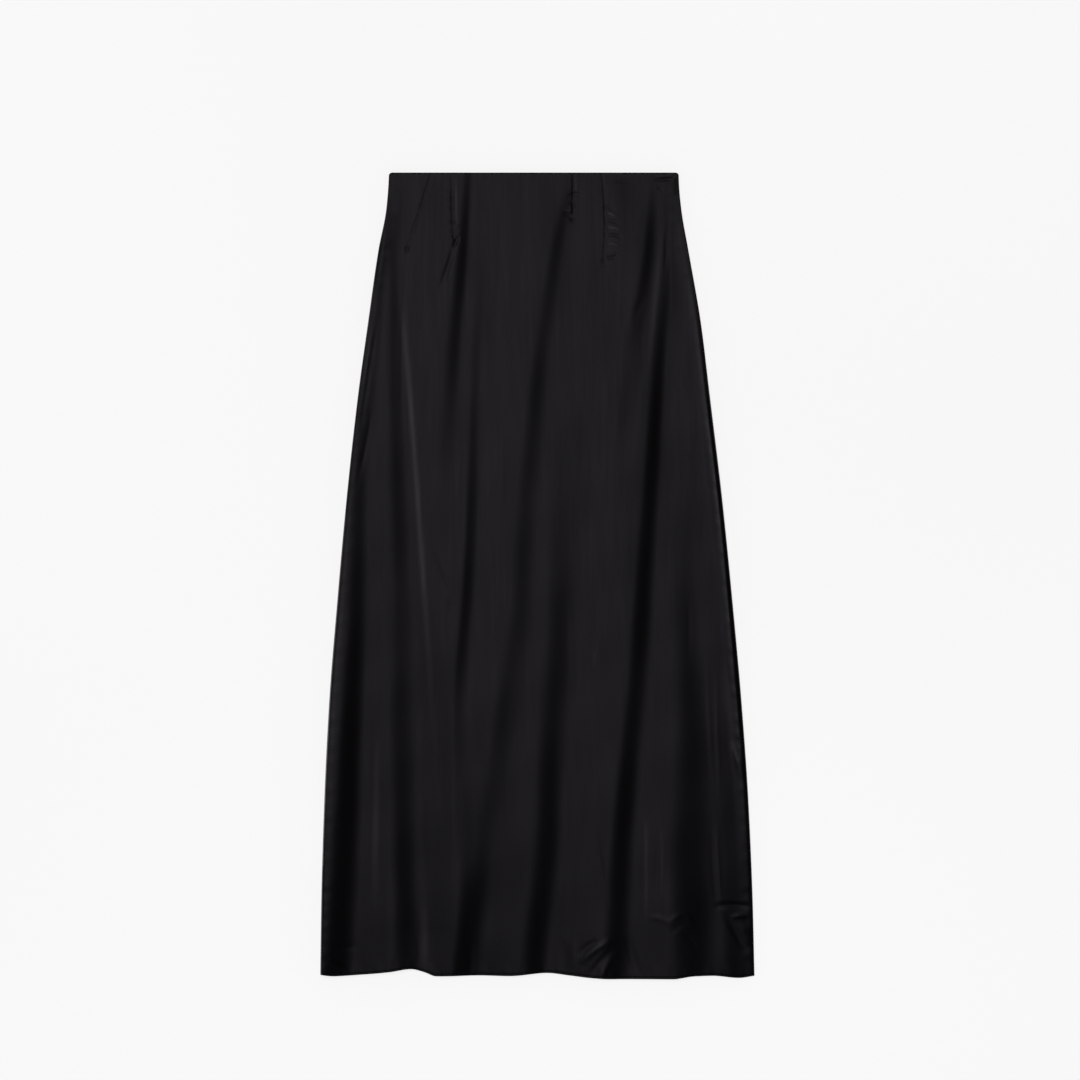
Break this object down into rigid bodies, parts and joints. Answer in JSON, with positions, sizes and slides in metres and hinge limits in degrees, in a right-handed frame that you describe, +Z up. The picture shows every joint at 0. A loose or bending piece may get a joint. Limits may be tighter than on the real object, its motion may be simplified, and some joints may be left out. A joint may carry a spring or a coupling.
{
  "type": "maxi skirt laid flat",
  "caption": "Long black satin skirt laid flat with its front up: a darted, softly folded front panel lies on a flat back panel, with a concealed side zip.",
  "frame": {"origin": "Middle of the footprint, on the surface that the skirt lies on.", "axes": "+X is the viewer's right with the front up (the wearer's left), +Y runs from the hem to the waist, +Z is up, out of the front."},
  "size_m": [0.5296, 0.983, 0.0193],
  "materials": {
    "satin": "black satin with a soft sheen",
    "zip_tape": "black woven tape",
    "zip_metal": "black enamel"
  },
  "bodies": {
    "skirt": {"front_panel": "satin", "back_panel": "satin", "zip_tape": "zip_tape", "zip_slider": "zip_metal"},
    "zip_pull": {"zip_pull": "zip_metal"}
  },
  "joints": [
    {"name": "pull_tab_hinge", "type": "hinge", "parent": "skirt", "child": "zip_pull", "pos_m": [0.16827, 0.4835, 0.0066], "axis": [-1, 0, 0], "range_deg": [0, 175]}
  ]
}
